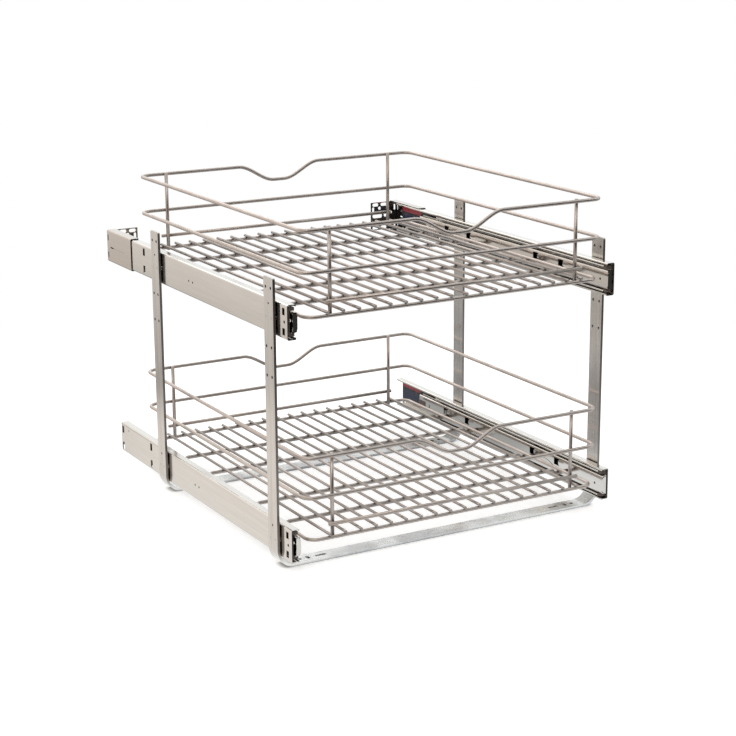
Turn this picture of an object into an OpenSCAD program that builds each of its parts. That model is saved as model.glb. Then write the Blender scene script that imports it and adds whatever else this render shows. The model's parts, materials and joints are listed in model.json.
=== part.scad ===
// Two-tier pull-out cabinet basket. Two U-shaped bars stand on the cabinet floor and carry
// four ball-bearing slides, and each pair of slides carries one welded wire basket.
// Front is -Y, up is +Z. The floor is z = 0 and the origin lies midway between the two bars.

/* [Frame] */
// Width over the two uprights
frame_w = 508; // [480:1:560]
// Height of the uprights
frame_h = 382; // [380:1:420]
// Radius of the rounded corners on the uprights' tops
top_r = 3; // [1:0.5:8]
// Width of the flat bar
bar_w = 25.4; // [22:0.2:32]
// Thickness of the flat bar
bar_t = 3.5; // [2.6:0.1:4.5]
// Outer radius of the bend at the floor
bend_r = 26; // [14:1:34]
// Distance from the front bar to the rear bar, centre to centre
bar_span = 353.6; // [300:1:372]

/* [Frame holes] */
// Height step of the screw rows on the uprights
row_step = 38; // [30:1:40]
// Distance between the two holes of a row
row_pair = 13.6; // [12:0.1:15]
// Height of the single hole above each slide's centre
spare_up = 18; // [14:0.5:20]
// Radius of the single hole
spare_r = 1.5; // [1:0.1:2]
// Radius of the small holes in the uprights
row_r = 2; // [1.8:0.05:2.4]
// Floor screw holes, distance from the middle
floor_hole_x = 216; // [212:1:217]
// Floor screw holes, radius
floor_hole_r = 2.75; // [2:0.05:3]
// Cross slots, distance from the middle
cross_slot_x = 204; // [202:1:206]
// Cross slots, length over the ends
cross_slot_l = 10; // [8:0.5:12]
// Long slots, distance from the middle
long_slot_x = 185; // [170:1:188]
// Long slots, length over the ends
long_slot_l = 17; // [12:0.5:20]
// Width of all floor slots
slot_w = 5; // [4:0.1:6]

/* [Slides] */
// Length of a slide
slide_l = 558.8; // [540:0.2:600]
// Height of a slide
slide_h = 45; // [44:0.1:48]
// Thickness of a slide
slide_t = 12.7; // [12.4:0.1:14]
// Sheet thickness of the slide members
sheet_t = 1.2; // [1:0.05:1.3]
// Slide's front end ahead of the origin
slide_front = 217.8; // [210:1:240]
// Gap that the bosses bridge between slide and upright
boss_t = 1.5; // [1.2:0.1:2.5]
// Small hole near the slide's rear end, distance from that end
spare_hole_at = 28.6; // [24:0.1:40]
// Height of the small hole above the slide's centre
spare_hole_up = 15.5; // [10:0.1:16]
// Radius of the small hole
spare_hole_r = 1.2; // [0.8:0.1:1.5]
// Height of the lower slide's centre above the floor
lower_z = 39.2; // [38:0.1:60]
// Distance between the lower and the upper slide's centres
level_gap = 291.6; // [280:0.1:298]
// Gap between the webs of the cabinet and intermediate members
web_gap = 2.4; // [2.2:0.1:2.6]
// Length of the intermediate member
mid_l = 430; // [380:1:460]
// Outer radius of the long bends of the cabinet member
slide_bend = 2.4; // [1.6:0.1:3.8]
// Length of the drawer member
drawer_l = 489; // [485:1:520]
// Drawer member's overhang at the front
drawer_out = 3; // [2:0.5:6]
// Length of the front buffer
buffer_l = 5; // [3:0.5:6]
// Front slots of the cabinet member, measured from its front end
front_slot_at = 10; // [7:0.5:14]
// Rear slots of the cabinet member, measured from its front end
rear_slot_at = 445.5; // [430:0.5:455]
// Height of the slots above and below the centre
slot_up = 12.8; // [11:0.1:14]
// Width of the slots
slide_slot_w = 6.8; // [4:0.1:8]
// Depth of the stop tabs bent in behind the rear slots
stop_tab = 3.2; // [2.4:0.1:3.4]
// Pair of small holes in the cabinet member, measured from its front end
pair_at = 285.2; // [270:0.1:300]
// Windows of the drawer member, middle of the front pair from the slide's front end
front_windows = 137.2; // [130:0.1:150]
// Windows of the drawer member, middle of the rear pair from the slide's front end
rear_windows = 375.5; // [360:0.1:385]
// Distance between the windows of a pair
window_gap = 61.6; // [58:0.1:66]
// Length of a window
window_l = 12.5; // [8:0.5:14]
// Height of a window
window_h = 10; // [6:0.5:11]
// Height of the windows above the slide's centre
window_up = 4.5; // [0:0.1:6]
// Length of the raised oval between two windows
oval_l = 44; // [20:1:48]
// Stop slot of the drawer member, measured from the slide's front end
stop_slot_at = 456; // [440:1:465]
// Notch for the catch at the rear of the drawer member, length
notch_l = 18; // [12:0.5:22]
// Notch for the catch at the rear of the drawer member, height
notch_h = 10; // [6:0.5:12]

/* [Labels] */
// Label's front end, measured from the slide's front end
label_at = 451; // [451:1:470]
// Length of the label
label_l = 107; // [60:1:107]
// Height of the label
label_h = 29; // [20:0.5:32]
// Depth of the label's lower edge below the slide's centre
label_low = 12; // [8:0.5:16]
// Thickness of the label film
label_t = 0.15; // [0.1:0.05:0.3]

/* [Balls] */
// Ball diameter
ball_d = 3.5; // [3.2:0.05:3.6]
// Radial clearance of the balls in their tracks
ball_gap = 0.05; // [0.02:0.01:0.1]
// Radial clearance of the balls in their cages
cage_gap = 0.1; // [0.05:0.01:0.2]
// Sheet thickness of the cages
cage_t = 1; // [0.8:0.05:1.1]
// Balls in each row
ball_n = 14; // [8:1:16]
// Ball pitch in the outer cage
outer_pitch = 10; // [7:0.5:11]
// Ball pitch in the inner cage
inner_pitch = 6; // [5:0.5:9]
// Outer cage's middle, measured from the slide's front end
outer_cage_at = 220; // [180:1:260]
// Length of the outer cage
outer_cage_l = 150; // [140:1:170]
// Inner cages' middle, measured from the slide's front end
inner_cage_at = 255; // [200:1:280]
// Length of the inner cage
inner_cage_l = 180; // [150:1:200]

/* [Slide screws] */
// Screw shank radius
screw_r = 1.95; // [1.5:0.05:1.95]
// Screw head radius
head_r = 3.6; // [3:0.1:4]
// Depth of the screw head's cone
head_d = 1.65; // [1.4:0.05:1.9]
// Radius of the bosses
boss_r = 4.5; // [4.2:0.1:6]

/* [Rear brackets] */
// Length of a bracket
bracket_l = 90; // [70:1:110]
// Brackets' rear face, measured from the slide's front end
bracket_to = 581.4; // [570:0.1:620]
// Width of the rear flange
flange_w = 48.5; // [48:0.5:60]
// Depth of the lips over and under the slide
lip_d = 13; // [8:0.5:13.5]
// Running clearance of the bracket on the slide
bracket_gap = 0.1; // [0.05:0.05:0.3]
// First flange slot, measured from the bracket's outer face
flange_slot_1 = 25.2; // [24:0.1:27]
// Second flange slot, measured from the bracket's outer face
flange_slot_2 = 40.3; // [39:0.1:41.5]
// Flange slots, length over the ends
flange_slot_l = 11; // [8:0.5:11.5]
// Flange slots, width
flange_slot_w = 5.2; // [4:0.1:5.4]
// Height of the flange slots above and below the centre
flange_slot_up = 18.6; // [18:0.1:18.8]
// Radius of the flange's round hole between the slots
flange_r = 2.6; // [1.5:0.1:2.8]
// Height of that hole above the centre
flange_hole_up = 12.8; // [11:0.1:12.8]
// Small round hole of the flange, measured from the bracket's outer face
flange_pin_at = 11.2; // [10:0.1:13]
// Height of the small hole above the centre
flange_pin_up = 4.6; // [0:0.1:6]
// Radius of the small hole
flange_pin_r = 1.8; // [1:0.1:2]
// Upright slot beside the round hole, measured from the bracket's outer face
flange_mid_at = 22.3; // [20:0.1:23]
// Length of that upright slot
flange_mid_l = 9; // [6:0.5:10]
// Upright slot at the flange's edge, measured from the bracket's outer face
flange_edge_at = 44.3; // [43:0.1:45]
// Length of that upright slot
flange_edge_l = 10; // [6:0.5:10]
// Width of that upright slot
flange_edge_w = 4; // [3:0.1:4.5]
// Window in the flange, measured from the bracket's outer face to its middle
flange_window_at = 36.8; // [34:0.1:37]
// Length of the window in the flange
flange_window_l = 18; // [12:0.5:18]
// Height of the window in the flange
flange_window_h = 7; // [4:0.5:7.5]
// Length of the relief slots beside the bend
relief_l = 9; // [4:0.5:9.5]
// Width of the relief slots
relief_w = 3.2; // [2:0.1:3.5]
// Height of the upper relief slots above the centre
relief_up = 12.6; // [10:0.1:14]
// Height of the lower relief slots below the centre
relief_down = 13.6; // [10:0.1:14]
// Rear end of the slit, measured from the bracket's rear face
slit_from = 12.5; // [8:0.5:16]
// Length of the slit in the side of the bracket
slit_l = 11; // [5:0.5:14]
// Width of the slit
slit_w = 2; // [1:0.1:3]
// Length of the pressed line ahead of the slit
crease_l = 40; // [20:1:45]

/* [Baskets] */
// Half width of the top and middle wires
rim_hw = 226.5; // [223:0.5:232]
// Half width of the bottom wire
base_hw = 221.5; // [212:0.5:222]
// Length of the basket, wire centre to wire centre
basket_l = 506; // [480:1:520]
// Basket's front wire behind the slide's front end
basket_set = 0; // [-1:0.5:10]
// Corner radius of the wires
corner_r = 15; // [10:0.5:25]
// Height of the top wire above the slide's centre
top_up = 111.8; // [95:0.1:125]
// Height of the middle wire above the slide's centre
mid_up = 59; // [45:0.1:70]
// Height of the short end wires above the slide's centre
rail_up = 20.6; // [15:0.1:30]
// Height of the bottom wire above the slide's centre
base_up = 2.6; // [0:0.1:4]
// Diameter of the rim wires and posts
rim_d = 5; // [4:0.1:6]
// Diameter of the floor wires
floor_d = 4; // [3:0.1:5]
// Diameter of the cross wires
cross_d = 5.5; // [4:0.1:6]
// First cross wire, measured from the slide's front end
cross_1 = 82; // [60:0.5:100]
// Second cross wire, measured from the slide's front end
cross_2 = 168; // [150:0.5:190]
// Third cross wire, measured from the slide's front end
cross_3 = 318; // [300:0.5:340]
// Fourth cross wire, measured from the slide's front end
cross_4 = 403; // [385:0.5:425]
// Number of floor wires
floor_n = 18; // [12:2:18]
// Pitch of the floor wires
floor_pitch = 22.75; // [20:0.05:23.5]
// Floor wires' overhang at the rear
floor_out = 5; // [0:0.5:8]
// Posts, distance from the middle
post_x = 186.5; // [182:0.5:190]
// End wires' overhang beyond the posts
rail_out = 5; // [1:0.5:10]
// Half width of the scoop in the top wire
scoop_w = 67; // [40:1:90]
// Half width of the scoop's flat bottom
scoop_flat = 9; // [2:1:30]
// Depth of the scoop
scoop_d = 23; // [10:0.5:40]
// Gap left at each weld
weld = 0.05; // [0.02:0.01:0.2]

/* [Hidden] */
$fn = 48;
e = 1;
upper_z = lower_z + level_gap;

// slide section: s runs inwards from the outer face of the cabinet member
slide_x = frame_w / 2 - bar_t - boss_t;
y0 = -slide_front;
y1 = y0 + slide_l;
half_h = slide_h / 2;
ball_r = ball_d / 2;
outer_z = half_h - sheet_t - ball_gap - ball_r;
mid_z = outer_z - ball_r - ball_gap;
inner_z = mid_z - sheet_t - ball_gap - ball_r;
drawer_z = inner_z - ball_r - ball_gap;
mid_s = sheet_t + web_gap;
race_lo = mid_s + sheet_t;
race_hi = slide_t - sheet_t;
ball_s = (race_lo + race_hi) / 2;
edge_s = slide_t - 0.4;
bead_r = 1.4;
mid_y0 = y0 + 8;
drawer_y0 = y0 - drawer_out;
drawer_y1 = drawer_y0 + drawer_l;
outer_cage_y = y0 + outer_cage_at;
inner_cage_y = y0 + inner_cage_at;
window_at = [for (m = [front_windows, rear_windows], k = [-1, 1]) m + k * window_gap / 2];
screw_ys = [for (b = [-1, 1], k = [-1, 1]) b * bar_span / 2 + k * row_pair / 2];

// basket lines
basket_y0 = y0 + basket_set;
basket_y1 = basket_y0 + basket_l;
post_in = rim_d + weld;
cross_at = [cross_1, cross_2, cross_3, cross_4];
floor_up = base_up + (rim_d + floor_d) / 2 + weld;
cross_drop = (rim_d + cross_d) / 2 + weld;
member_x = slide_x - slide_t;

// bracket lines
bx = slide_x + bracket_gap + sheet_t;

function unit(v) = v / norm(v);
function left_of(u) = [-u[1], u[0]];
function spin(u, a) = [u[0] * cos(a) - u[1] * sin(a), u[0] * sin(a) + u[1] * cos(a)];
// one bent corner of a strip, offset d to the left of its midline
function bend_pts(p, u, v, r, d, n) = let (
        s = sign(u[0] * v[1] - u[1] * v[0]),
        a = acos(u * v),
        c = p - u * r * tan(a / 2) + left_of(u) * r * s)
    [for (k = [0:n]) c - left_of(spin(u, s * a * k / n)) * s * (r - s * d)];
// one side of a strip along the midline p with bend radii r
function side_pts(p, r, d, n) = let (m = len(p) - 1) concat(
    [p[0] + left_of(unit(p[1] - p[0])) * d],
    [for (i = [1:m - 1]) each
        bend_pts(p[i], unit(p[i] - p[i - 1]), unit(p[i + 1] - p[i]), r[i - 1], d, n)],
    [p[m] + left_of(unit(p[m] - p[m - 1])) * d]);
function back(v) = [for (i = [len(v) - 1:-1:0]) v[i]];

// bent sheet or bar: midline p, bend radii r, thickness t, n steps a bend
module strip(p, r, t, n = 4) {
    polygon(concat(side_pts(p, r, t / 2, n), back(side_pts(p, r, -t / 2, n))));
}

module along_y(a, b) {
    translate([0, b, 0]) rotate([90, 0, 0]) linear_extrude(b - a) children();
}

// places a right-hand slide piece at a level and on a side
module at_slide(z, side) {
    translate([0, 0, z])
        if (side < 0) mirror([1, 0, 0]) children();
        else children();
}

// cuts of the right-hand slide: a box window and a round hole through a web at depth s
module web_box(s, y, z, l, h) {
    translate([slide_x - s - sheet_t - e, y - l / 2, z - h / 2]) cube([sheet_t + 2 * e, l, h]);
}
module web_hole(s, y, z, r) {
    translate([slide_x - s - sheet_t - e, y, z]) rotate([0, 90, 0]) cylinder(h = sheet_t + 2 * e, r = r);
}

// round wire along path p: 12-sided, closed or with flat ends
module wire(p, r, loop = false) {
    n = 12;
    m = len(p);
    pts = [for (i = [0:m - 1]) let (
            q = loop ? p[(i + m - 1) % m] : p[max(i - 1, 0)],
            w = loop ? p[(i + 1) % m] : p[min(i + 1, m - 1)],
            a = i == 0 && !loop ? unit(w - p[i]) : unit(p[i] - q),
            b = i == m - 1 && !loop ? unit(p[i] - q) : unit(w - p[i]),
            t = unit(a + b), x = unit(cross(t, [0, 0, 1])), y = cross(x, t))
        for (k = [0:n - 1]) p[i] + r * (x * cos(360 * k / n) + y * sin(360 * k / n))];
    last = loop ? m - 1 : m - 2;
    sides = [for (i = [0:last], k = [0:n - 1]) let (
            j = (i + 1) % m, l = (k + 1) % n)
        each [[i * n + k, i * n + l, j * n + l], [i * n + k, j * n + l, j * n + k]]];
    caps = loop ? [] : [[for (k = [n - 1:-1:0]) k], [for (k = [0:n - 1]) (m - 1) * n + k]];
    polyhedron(pts, concat(sides, caps));
}

// height of the top wire at x along the front or back
function ease(u) = u * u * (3 - 2 * u);
function scoop(x) = -scoop_d * ease(min(1, max(0, (scoop_w - abs(x)) / (scoop_w - scoop_flat))));
scoop_xs = [for (k = [-8:8]) let (u = abs(k) / 8) sign(k) * (scoop_flat + (scoop_w - scoop_flat) * u)];
function arc_pts(cx, cy, a, z) = [for (k = [0:6])
    [cx + corner_r * cos(a + 15 * k), cy + corner_r * sin(a + 15 * k), z]];
function ring_path(hw, z, dip) = concat(
    dip ? [for (x = scoop_xs) [x, basket_y0, z + scoop(x)]] : [],
    arc_pts(hw - corner_r, basket_y0 + corner_r, -90, z),
    arc_pts(hw - corner_r, basket_y1 - corner_r, 0, z),
    dip ? [for (x = back(scoop_xs)) [x, basket_y1, z + scoop(x)]] : [],
    arc_pts(-hw + corner_r, basket_y1 - corner_r, 90, z),
    arc_pts(-hw + corner_r, basket_y0 + corner_r, 180, z));

// ---- frame
module u_frame(y) {
    h = bar_w / 2;
    w = frame_w / 2 - bar_t / 2;
    r = bend_r - bar_t / 2;
    difference() {
        along_y(y - h, y + h)
            strip([[-w, frame_h], [-w, bar_t / 2], [w, bar_t / 2], [w, frame_h]], [r, r], bar_t, 12);
        for (k = [-1, 1], z = [upper_z + row_step, upper_z, upper_z - row_step,
                upper_z - 2 * row_step, lower_z])
            translate([-w - bar_t, y + k * row_pair / 2, z])
                rotate([0, 90, 0]) cylinder(h = 2 * (w + bar_t), r = row_r);
        for (z = [upper_z, lower_z]) translate([-w - bar_t, y, z + spare_up])
            rotate([0, 90, 0]) cylinder(h = 2 * (w + bar_t), r = spare_r);
        // rounds the corners of the tops
        for (k = [-1, 1]) translate([-w - bar_t, y + k * (h - top_r), frame_h - top_r])
            rotate([0, 90, 0]) difference() {
                translate([-top_r - e, k > 0 ? 0 : -top_r - e, 0])
                    cube([top_r + e, top_r + e, 2 * (w + bar_t)]);
                cylinder(h = 2 * (w + bar_t), r = top_r);
            }
        for (s = [-1, 1]) {
            translate([s * floor_hole_x, y, -e]) cylinder(h = bar_t + 2 * e, r = floor_hole_r);
            slot_cut([s * cross_slot_x, y], 0, cross_slot_l);
            slot_cut([s * long_slot_x, y], long_slot_l, 0);
        }
    }
}
// slot with round ends through the floor bar, lx long along X or ly along Y
module slot_cut(c, lx, ly) {
    r = slot_w / 2;
    a = max(lx - slot_w, 0) / 2;
    b = max(ly - slot_w, 0) / 2;
    translate([c[0], c[1], -e]) {
        for (k = [-1, 1]) translate([k * a, k * b, 0]) cylinder(h = bar_t + 2 * e, r = r);
        translate([a > 0 ? -a : -r, b > 0 ? -b : -r, 0])
            cube([a > 0 ? 2 * a : slot_w, b > 0 ? 2 * b : slot_w, bar_t + 2 * e]);
    }
}
module front_u_frame() { color("lightsteelblue") u_frame(-bar_span / 2); }
module rear_u_frame() { color("lightsteelblue") u_frame(bar_span / 2); }

// ---- slide members, right-hand, centred on z = 0
module cabinet_member() {
    m = sheet_t / 2;
    lip = edge_s - m;
    wall = half_h - m;
    tip = outer_z + 0.4;
    r = slide_bend - m;
    difference() {
        union() {
            along_y(y0, y1) translate([slide_x, 0]) strip(
                [[-lip, tip], [-lip, wall], [-m, wall], [-m, -wall], [-lip, -wall], [-lip, -tip]],
                [0.8, r, r, 0.8], sheet_t);
            for (y = screw_ys) translate([slide_x - m, y, 0])
                rotate([0, 90, 0]) cylinder(h = boss_t + m, r = boss_r);
            // tabs bent in at the rear slots stop the intermediate member
            for (z = [-slot_up, slot_up])
                translate([slide_x - sheet_t - stop_tab, y0 + rear_slot_at + slide_slot_w / 2, z - 4])
                    cube([stop_tab + weld, sheet_t, 8]);
        }
        for (y = screw_ys) translate([slide_x - sheet_t, y, 0]) rotate([0, 90, 0]) {
            translate([0, 0, -e]) cylinder(h = sheet_t + boss_t + 2 * e, r = row_r);
            cylinder(h = head_d, r1 = head_r + weld, r2 = screw_r + weld);
        }
        for (z = [-slot_up, slot_up]) {
            web_box(0, y0 + front_slot_at, z, slide_slot_w, 9);
            web_box(0, y0 + rear_slot_at, z, slide_slot_w, 11);
            web_box(0, y1 - slide_slot_w, z, slide_slot_w, 11);
        }
        web_hole(0, y0 + front_slot_at - 2, 0, 2);
        web_hole(0, y1 - spare_hole_at, spare_hole_up, spare_hole_r);
        for (k = [-1, 1]) web_hole(0, y0 + pair_at + k * 6.4, -1, 1.5);
    }
}
module slide_screws(z) {
    for (side = [-1, 1], y = screw_ys) at_slide(z, side)
        translate([slide_x - sheet_t, y, 0]) rotate([0, 90, 0]) difference() {
            union() {
                cylinder(h = head_d, r1 = head_r, r2 = screw_r);
                cylinder(h = sheet_t + boss_t + bar_t, r = screw_r);
            }
            for (a = [0, 90]) rotate([0, 0, a]) translate([-2.2, -0.45, -e]) cube([4.4, 0.9, 1 + e]);
        }
}
module intermediate_member() {
    s = mid_s + sheet_t / 2;
    z = mid_z - sheet_t / 2;
    b = edge_s - bead_r;
    difference() {
        union() {
            along_y(mid_y0, mid_y0 + mid_l) translate([slide_x, 0])
                strip([[-b, z], [-s, z], [-s, -z], [-b, -z]], [1.4, 1.4], sheet_t);
            for (k = [-1, 1]) translate([slide_x - b, mid_y0, k * z])
                rotate([-90, 0, 0]) cylinder(h = mid_l, r = bead_r);
        }
        for (k = [0.07, 0.5, 0.93]) web_hole(mid_s, mid_y0 + k * mid_l, 0, 5);
    }
}
module front_buffer() {
    top = mid_z + 0.7;
    low = drawer_z + 1.3;
    difference() {
        translate([slide_x - edge_s + 0.9, mid_y0 - buffer_l - weld, -top])
            cube([edge_s - 0.9 - mid_s, buffer_l, 2 * top]);
        translate([slide_x - edge_s - e, mid_y0 - buffer_l - e, -low])
            cube([edge_s - race_lo + e, buffer_l + 2 * e, 2 * low]);
    }
}
module outer_cage() {
    s = sheet_t + web_gap / 2;
    b = edge_s - sheet_t - 0.2;
    difference() {
        along_y(outer_cage_y - outer_cage_l / 2, outer_cage_y + outer_cage_l / 2)
            translate([slide_x, 0])
            strip([[-b, outer_z], [-s, outer_z], [-s, -outer_z], [-b, -outer_z]], [1, 1], cage_t);
        ball_spots(outer_cage_y, outer_pitch)
            translate([0, 0, -half_h]) cylinder(h = slide_h, r = ball_r + cage_gap);
    }
}
module inner_cages() {
    difference() {
        for (k = [-1, 1]) translate([slide_x - race_hi + 0.4,
                inner_cage_y - inner_cage_l / 2, k * inner_z - cage_t / 2])
            cube([race_hi - race_lo - 0.9, inner_cage_l, cage_t]);
        ball_spots(inner_cage_y, inner_pitch)
            translate([0, 0, -half_h]) cylinder(h = slide_h, r = ball_r + cage_gap);
    }
}
module ball_spots(y, pitch) {
    for (i = [0:ball_n - 1])
        translate([slide_x - ball_s, y + (i - (ball_n - 1) / 2) * pitch, 0]) children();
}
module balls(y, pitch, z) {
    ball_spots(y, pitch) for (k = [-1, 1]) translate([0, 0, k * z]) sphere(r = ball_r);
}
module drawer_member() {
    m = sheet_t / 2;
    s = slide_t - m;
    z = drawer_z - m;
    lip = race_lo + 0.4 + m;
    tip = drawer_z + 0.8;
    difference() {
        union() {
            along_y(drawer_y0 + sheet_t, drawer_y1) translate([slide_x, 0]) strip(
                [[-lip, tip], [-lip, z], [-s, z], [-s, -z], [-lip, -z], [-lip, -tip]],
                [0.7, 1.4, 1.4, 0.7], sheet_t);
            // folded front end with cut corners, run a little into the channel
            along_y(drawer_y0, drawer_y0 + sheet_t + weld) translate([slide_x, 0]) polygon([
                [-slide_t, 8.5], [-slide_t, -8.5], [-slide_t + 3, -drawer_z + 1.4],
                [-race_lo - 1.4, -drawer_z + 1.4], [-race_lo - 1.4, drawer_z - 1.4],
                [-slide_t + 3, drawer_z - 1.4]]);
            // raised tab in front of each window, and the long boss between each two
            for (w = window_at) translate([member_x, y0 + w - window_l / 2, window_up - 2.6])
                linear_extrude(6) polygon([[0.4, 0], [-1.3, 0], [-1.3, -1.2], [0, -11], [0.4, -11]]);
            for (k = [0, 2]) translate([member_x, y0 + (window_at[k] + window_at[k + 1]) / 2, -3])
                rotate([0, -90, 0]) linear_extrude(0.8) lens(oval_l, 10);
        }
        for (w = window_at) web_box(race_hi, y0 + w, window_up, window_l, window_h);
        web_hole(race_hi, y0 + 14.5, -1, 1.75);
        web_box(race_hi, y0 + stop_slot_at, 0, 2, 6);
        web_box(race_hi, drawer_y1 - notch_l / 2, 0, notch_l + 2 * e, notch_h);
    }
}
// pointed oval l long and h high
module lens(l, h) {
    r = (l * l + h * h) / (4 * h);
    intersection() {
        translate([r - h / 2, 0]) circle(r, $fn = 96);
        translate([h / 2 - r, 0]) circle(r, $fn = 96);
    }
}
module rear_catch() {
    g = 0.15;
    h = drawer_z - sheet_t - 0.5;
    translate([member_x + g, drawer_y1 - notch_l - e + g, g - notch_h / 2])
        cube([sheet_t, notch_l + 4 - g, notch_h - 2 * g]);
    translate([member_x + sheet_t + g, drawer_y1 + 1 - notch_l, -h]) cube([3, notch_l + 2, 2 * h]);
}
module slide_label() {
    translate([slide_x - sheet_t - label_t - 0.02, y0 + label_at, -label_low])
        cube([label_t, label_l, label_h]);
}
// slot with round ends through a plate l by w, standing across Y, lying along X or Z
module plate_slot(l, w, upright = false) {
    deep = 2 * sheet_t + 2 * e;
    rotate([90, upright ? 90 : 0, 0]) {
        for (k = [-1, 1]) translate([k * (l - w) / 2, 0, 0]) cylinder(h = deep, r = w / 2, center = true);
        cube([l - w, w, deep], center = true);
    }
}
// bracket over the slide's rear end, with a flange turned inwards for the cabinet's back
module rear_bracket() {
    m = sheet_t / 2;
    h = half_h + bracket_gap + sheet_t - m;
    rear = y0 + bracket_to;
    difference() {
        union() {
            along_y(rear - bracket_l, rear - sheet_t) translate([bx, 0]) strip(
                [[-lip_d, h], [-m, h], [-m, -h], [-lip_d, -h]], [1.4, 1.4], sheet_t);
            translate([bx - flange_w, rear - sheet_t, -half_h]) cube([flange_w, sheet_t, slide_h]);
        }
        // relief slots beside the bend in the side and in the flange
        for (z = [relief_up, -relief_down]) {
            translate([bx - sheet_t - e, rear - 2 * sheet_t - relief_w, z - relief_l / 2])
                cube([sheet_t + 2 * e, relief_w, relief_l]);
            translate([bx - 2.5 * sheet_t - relief_w, rear - sheet_t - e, z - relief_l / 2])
                cube([relief_w, sheet_t + 2 * e, relief_l]);
        }
        // the slit and the pressed line of the side
        translate([bx - sheet_t - e, rear - slit_from - slit_l, -1.4 - slit_w / 2])
            cube([sheet_t + 2 * e, slit_l, slit_w]);
        translate([bx - 0.4, rear - slit_from - slit_l - crease_l, -1.8])
            cube([0.4 + e, crease_l + e, 0.8]);
        // cuts of the flange
        for (x = [flange_slot_1, flange_slot_2], k = [-1, 1])
            translate([bx - x, rear, k * flange_slot_up]) plate_slot(flange_slot_l, flange_slot_w);
        translate([bx - (flange_slot_1 + flange_slot_2) / 2, rear, flange_hole_up])
            rotate([90, 0, 0]) cylinder(h = 4 * sheet_t, r = flange_r, center = true);
        translate([bx - flange_edge_at, rear, 10]) plate_slot(flange_edge_l, flange_edge_w, true);
        translate([bx - flange_window_at, rear, 0.5]) plate_slot(flange_window_l, flange_window_h);
        translate([bx - flange_mid_at, rear, 2.5]) plate_slot(flange_mid_l, flange_slot_w, true);
        translate([bx - flange_pin_at, rear, flange_pin_up])
            rotate([90, 0, 0]) cylinder(h = 4 * sheet_t, r = flange_pin_r, center = true);
    }
}

// ---- basket pieces, z measured from the slide's centre
module top_wire() { wire(ring_path(rim_hw, top_up, true), rim_d / 2, true); }
module middle_wire() { wire(ring_path(rim_hw, mid_up, false), rim_d / 2, true); }
module bottom_wire() { wire(ring_path(base_hw, base_up, false), rim_d / 2, true); }
module end_wires() {
    w = post_x + rim_d / 2 + rail_out;
    for (y = [basket_y0, basket_y1]) translate([-w, y, rail_up])
        rotate([0, 90, 0]) cylinder(h = 2 * w, r = rim_d / 2);
}
module posts() {
    lo = base_up - rim_d / 2;
    for (x = [-post_x, post_x], y = [basket_y0 + post_in, basket_y1 - post_in])
        translate([x, y, lo]) cylinder(h = top_up + rim_d / 2 - lo, r = rim_d / 2);
}
module floor_wires() {
    y = basket_y0 - rim_d / 2;
    for (i = [0:floor_n - 1])
        translate([(i - (floor_n - 1) / 2) * floor_pitch, y, floor_up])
            rotate([-90, 0, 0]) cylinder(h = basket_y1 + floor_out - y, r = floor_d / 2);
}
module cross_wires() {
    a = base_hw - rim_d / 2 - 9;
    b = base_hw - rim_d / 2 - 3;
    c = member_x - weld;
    z = base_up - (cross_d - rim_d) / 2;
    d = base_up - cross_drop;
    for (y = cross_at) wire([for (q = [[-c, d], [-b, d], [-a, z], [a, z], [b, d], [c, d]])
        [q[0], y0 + y, q[1]]], cross_d / 2);
}

// ---- sub-parts
module upper_left_cabinet_member() { color("silver") at_slide(upper_z, -1) cabinet_member(); }
module upper_right_cabinet_member() { color("silver") at_slide(upper_z, 1) cabinet_member(); }
module lower_left_cabinet_member() { color("silver") at_slide(lower_z, -1) cabinet_member(); }
module lower_right_cabinet_member() { color("silver") at_slide(lower_z, 1) cabinet_member(); }
module upper_slide_screws() { color("dimgray") slide_screws(upper_z); }
module lower_slide_screws() { color("dimgray") slide_screws(lower_z); }
module slide_labels() {
    color("firebrick") for (z = [lower_z, upper_z], side = [-1, 1]) at_slide(z, side) slide_label();
}
module upper_left_rear_bracket() {
    color("tan") at_slide(upper_z, -1) rear_bracket();
}
module upper_right_rear_bracket() {
    color("tan") at_slide(upper_z, 1) rear_bracket();
}
module upper_left_intermediate() { color("gold") at_slide(upper_z, -1) intermediate_member(); }
module upper_right_intermediate() { color("gold") at_slide(upper_z, 1) intermediate_member(); }
module lower_left_intermediate() { color("gold") at_slide(lower_z, -1) intermediate_member(); }
module lower_right_intermediate() { color("gold") at_slide(lower_z, 1) intermediate_member(); }
module upper_left_front_buffer() { color("black") at_slide(upper_z, -1) front_buffer(); }
module upper_right_front_buffer() { color("black") at_slide(upper_z, 1) front_buffer(); }
module lower_left_front_buffer() { color("black") at_slide(lower_z, -1) front_buffer(); }
module lower_right_front_buffer() { color("black") at_slide(lower_z, 1) front_buffer(); }
module upper_left_outer_cage() { color("teal") at_slide(upper_z, -1) outer_cage(); }
module upper_right_outer_cage() { color("teal") at_slide(upper_z, 1) outer_cage(); }
module lower_left_outer_cage() { color("teal") at_slide(lower_z, -1) outer_cage(); }
module lower_right_outer_cage() { color("teal") at_slide(lower_z, 1) outer_cage(); }
module outer_balls() { balls(outer_cage_y, outer_pitch, outer_z); }
module inner_balls() { balls(inner_cage_y, inner_pitch, inner_z); }
module upper_left_outer_balls() { color("gray") at_slide(upper_z, -1) outer_balls(); }
module upper_right_outer_balls() { color("gray") at_slide(upper_z, 1) outer_balls(); }
module lower_left_outer_balls() { color("gray") at_slide(lower_z, -1) outer_balls(); }
module lower_right_outer_balls() { color("gray") at_slide(lower_z, 1) outer_balls(); }
module upper_left_inner_cages() { color("olive") at_slide(upper_z, -1) inner_cages(); }
module upper_right_inner_cages() { color("olive") at_slide(upper_z, 1) inner_cages(); }
module lower_left_inner_cages() { color("olive") at_slide(lower_z, -1) inner_cages(); }
module lower_right_inner_cages() { color("olive") at_slide(lower_z, 1) inner_cages(); }
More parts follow.
